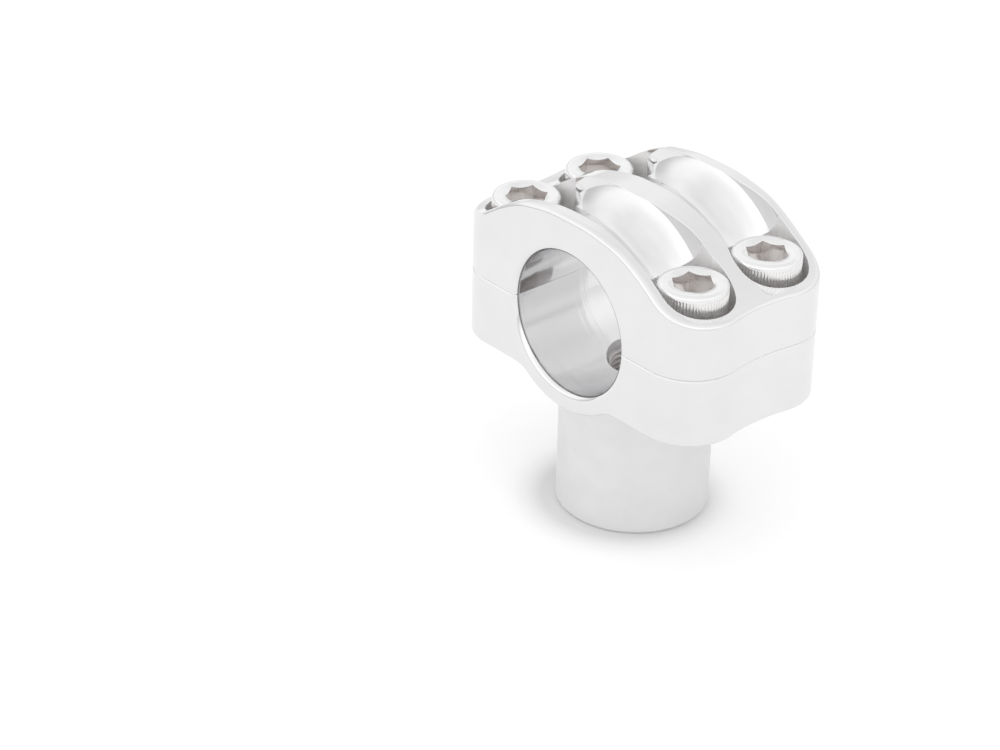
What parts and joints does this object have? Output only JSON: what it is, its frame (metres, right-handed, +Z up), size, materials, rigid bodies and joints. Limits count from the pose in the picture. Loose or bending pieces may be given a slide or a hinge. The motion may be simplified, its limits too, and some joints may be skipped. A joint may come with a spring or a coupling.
{
  "type": "motorcycle handlebar riser",
  "caption": "Clamp riser that holds a round handlebar above a fork clamp: saddle on a round stem, arched cap with scooped channels, socket head cap screws.",
  "frame": {"origin": "centre of the stem's foot, on the face that rests on the fork clamp", "axes": "+X along the handlebar, +Y across it, +Z up the stem towards the cap"},
  "size_m": [0.0346, 0.058, 0.0592],
  "materials": {
    "polished_body": "polished",
    "polished_cap": "polished",
    "chrome_screw": "chrome plated"
  },
  "bodies": {
    "root": {"riser_body": "polished_body", "clamp_cap": "polished_cap", "cap_screw_front_near": "chrome_screw", "cap_screw_front_far": "chrome_screw", "cap_screw_rear_near": "chrome_screw", "cap_screw_rear_far": "chrome_screw"}
  },
  "joints": []
}
